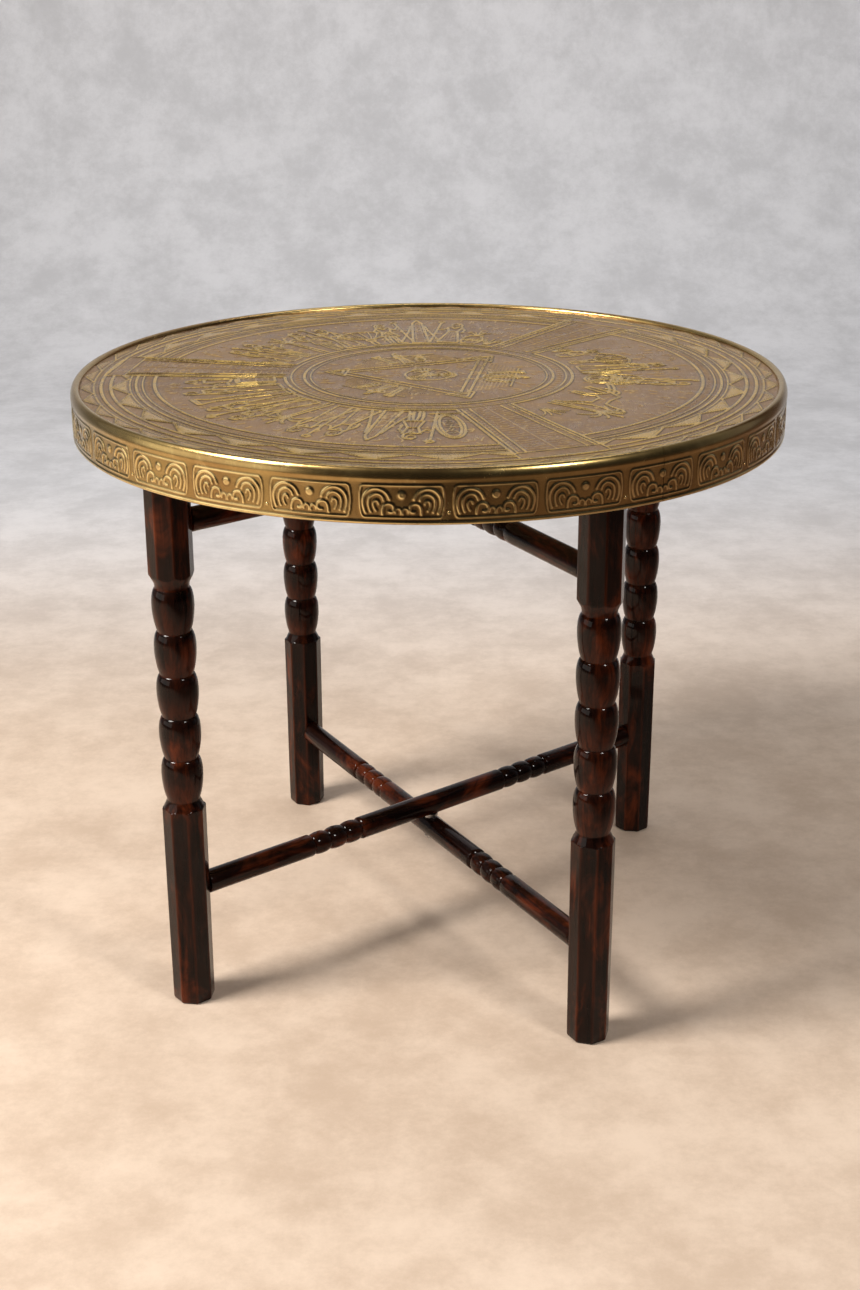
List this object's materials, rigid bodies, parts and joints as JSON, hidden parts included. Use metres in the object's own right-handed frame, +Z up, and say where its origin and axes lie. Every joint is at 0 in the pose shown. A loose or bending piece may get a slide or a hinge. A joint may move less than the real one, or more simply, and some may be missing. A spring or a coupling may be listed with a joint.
{
  "type": "tray table",
  "caption": "Round embossed brass tray with a deep skirt, resting loose on a folding stand of two crossed turned-wood frames that pivot about the centre line.",
  "frame": {"origin": "on the floor under the centre of the tray, where the two frames cross", "axes": "+Z up along the fold axis; -Y is the front, +X is to the right seen from the front"},
  "size_m": [0.6, 0.6, 0.509],
  "materials": {
    "brass": "embossed sheet brass, aged golden to brown, polished and copper-red where worn at the rim",
    "lacquered_wood": "near-black glossy lacquer over red-brown wood",
    "plain_wood": "unfinished wood under the tray",
    "steel": "plain screws and washers"
  },
  "bodies": {
    "frame_a": {"leg_back_right": "lacquered_wood", "leg_front_left": "lacquered_wood", "lower_stretcher_a": "lacquered_wood", "upper_rail_a": "lacquered_wood", "lower_pivot_screw": "steel", "lower_pivot_head_washer": "steel", "lower_pivot_spacer_washer": "steel", "upper_pivot_screw": "steel", "upper_pivot_head_washer": "steel", "upper_pivot_spacer_washer": "steel"},
    "frame_b": {"leg_front_right": "lacquered_wood", "leg_back_left": "lacquered_wood", "lower_stretcher_b": "lacquered_wood", "upper_rail_b": "lacquered_wood"},
    "tray": {"tray_board": "plain_wood", "hoop_block_1": "plain_wood", "hoop_block_2": "plain_wood", "hoop_block_3": "plain_wood", "hoop_block_4": "plain_wood", "hoop_block_5": "plain_wood", "hoop_block_6": "plain_wood", "hoop_block_7": "plain_wood", "hoop_block_8": "plain_wood", "top_sheet": "brass", "skirt_strip": "brass", "skirt_pin_01": "brass", "skirt_pin_02": "brass", "skirt_pin_03": "brass", "skirt_pin_04": "brass", "skirt_pin_05": "brass", "skirt_pin_06": "brass", "skirt_pin_07": "brass", "skirt_pin_08": "brass", "skirt_pin_09": "brass", "skirt_pin_10": "brass", "skirt_pin_11": "brass", "skirt_pin_12": "brass", "skirt_pin_13": "brass", "skirt_pin_14": "brass"}
  },
  "joints": [
    {"name": "stand_fold", "type": "hinge", "parent": "frame_a", "child": "frame_b", "pos_m": [0, 0, 0.25], "axis": [0, 0, 1], "range_deg": [-73, 90]},
    {"name": "tray_lift", "type": "slide", "parent": "frame_a", "child": "tray", "axis": [0, 0, 1], "range_m": [0, 0.06]}
  ]
}
